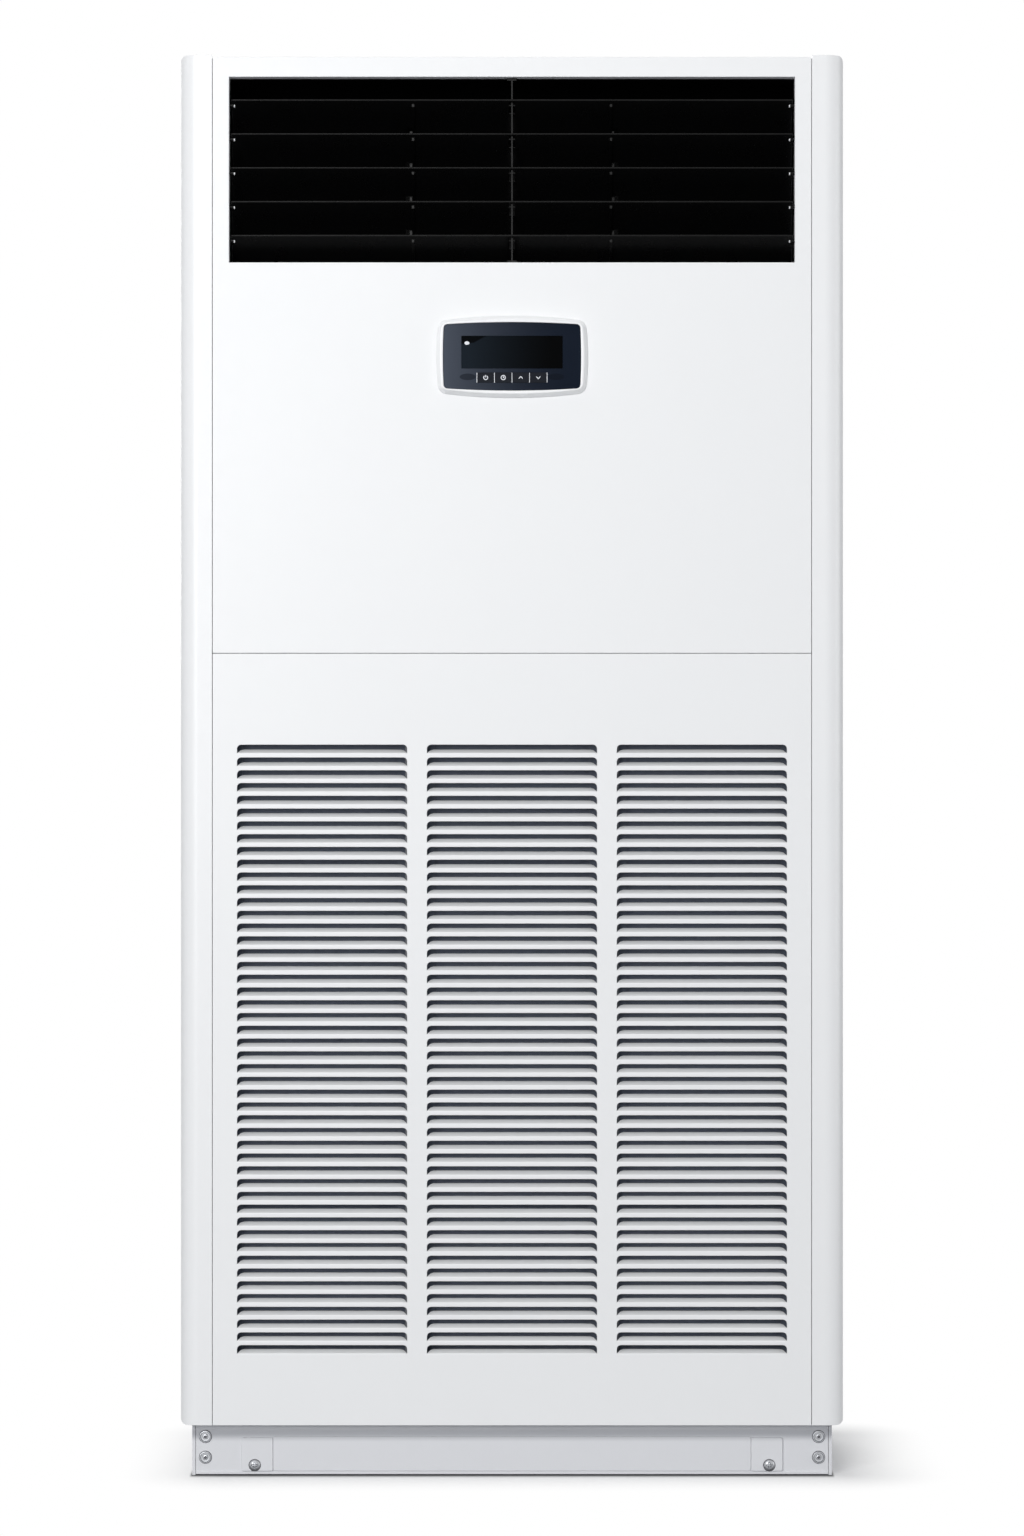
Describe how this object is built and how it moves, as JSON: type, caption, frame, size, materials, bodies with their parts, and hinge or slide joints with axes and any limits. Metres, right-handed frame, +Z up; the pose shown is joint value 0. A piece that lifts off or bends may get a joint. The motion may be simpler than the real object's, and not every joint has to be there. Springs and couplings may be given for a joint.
{
  "type": "floor standing air conditioner",
  "caption": "Tall free-standing indoor air conditioner cabinet with ganged outlet blades above a control panel and a pressed louvred intake.",
  "frame": {"origin": "middle of the footprint, on the floor", "axes": "+Z up, +X to the right seen from the front, the front faces -Y"},
  "size_m": [0.8644, 0.412, 1.85],
  "materials": {
    "white_paint": "satin powder coat",
    "white_moulding": "satin",
    "back_paint": "plain coated steel",
    "plinth_paint": "satin powder coat, pale grey",
    "clip_plastic": "matte",
    "black_plastic": "matte black",
    "grey_plastic": "matte",
    "galvanised": "zinc coated",
    "filter_mesh": "woven dark mesh",
    "fascia": "satin dark blue",
    "keys": "satin dark blue with pale icons",
    "display": "glossy near black",
    "rubber": "matte black"
  },
  "bodies": {
    "cabinet": {"plinth_front_rail": "plinth_paint", "plinth_back_rail": "plinth_paint", "plinth_left_rail": "plinth_paint", "plinth_right_rail": "plinth_paint", "plinth_cover": "plinth_paint", "plinth_clip_left": "clip_plastic", "plinth_clip_right": "clip_plastic", "base_pan": "galvanised", "top_panel": "white_paint", "left_side_panel": "white_paint", "right_side_panel": "white_paint", "back_panel": "back_paint", "pipe_grommet": "rubber", "drain_grommet": "rubber", "cable_grommet": "rubber", "left_corner_trim": "white_moulding", "right_corner_trim": "white_moulding", "cross_rail": "galvanised", "lower_front_panel": "white_paint", "filter_frame": "grey_plastic", "air_filter_left": "filter_mesh", "air_filter_centre": "filter_mesh", "air_filter_right": "filter_mesh", "upper_front_panel": "white_paint", "outlet_duct": "black_plastic", "louvre_bearing_left": "grey_plastic", "louvre_bearing_right": "grey_plastic", "louvre_centre_stay": "black_plastic", "control_bezel": "white_moulding", "control_fascia": "fascia", "display_window": "display", "key_1": "keys", "key_2": "keys", "key_3": "keys", "key_4": "keys"},
    "blade_1": {"blade_1": "black_plastic"},
    "blade_2": {"blade_2": "black_plastic"},
    "blade_3": {"blade_3": "black_plastic"},
    "blade_4": {"blade_4": "black_plastic"},
    "blade_5": {"blade_5": "black_plastic"},
    "link_left": {"louvre_link_left": "black_plastic"},
    "link_right": {"louvre_link_right": "black_plastic"}
  },
  "joints": [
    {"name": "blade_1_turn", "type": "hinge", "parent": "cabinet", "child": "blade_1", "pos_m": [0, -0.185, 1.7858], "axis": [1, 0, 0], "range_deg": [-15, 60]},
    {"name": "blade_2_turn", "type": "hinge", "parent": "cabinet", "child": "blade_2", "pos_m": [0, -0.185, 1.7417], "axis": [1, 0, 0], "range_deg": [-15, 60]},
    {"name": "blade_3_turn", "type": "hinge", "parent": "cabinet", "child": "blade_3", "pos_m": [0, -0.185, 1.6976], "axis": [1, 0, 0], "range_deg": [-15, 60]},
    {"name": "blade_4_turn", "type": "hinge", "parent": "cabinet", "child": "blade_4", "pos_m": [0, -0.185, 1.6535], "axis": [1, 0, 0], "range_deg": [-15, 60]},
    {"name": "blade_5_turn", "type": "hinge", "parent": "cabinet", "child": "blade_5", "pos_m": [0, -0.185, 1.6094], "axis": [1, 0, 0], "range_deg": [-15, 60]},
    {"name": "link_left_swing", "type": "hinge", "parent": "blade_3", "child": "link_left", "pos_m": [-0.1323, -0.14964, 1.66224], "axis": [1, 0, 0], "range_deg": [-60, 15]},
    {"name": "link_right_swing", "type": "hinge", "parent": "blade_3", "child": "link_right", "pos_m": [0.1323, -0.14964, 1.66224], "axis": [1, 0, 0], "range_deg": [-60, 15]}
  ],
  "couplings": [
    {"joint": "blade_1_turn", "follows": "blade_3_turn", "ratio": 1},
    {"joint": "blade_2_turn", "follows": "blade_3_turn", "ratio": 1},
    {"joint": "blade_4_turn", "follows": "blade_3_turn", "ratio": 1},
    {"joint": "blade_5_turn", "follows": "blade_3_turn", "ratio": 1},
    {"joint": "link_left_swing", "follows": "blade_3_turn", "ratio": -1},
    {"joint": "link_right_swing", "follows": "blade_3_turn", "ratio": -1}
  ]
}
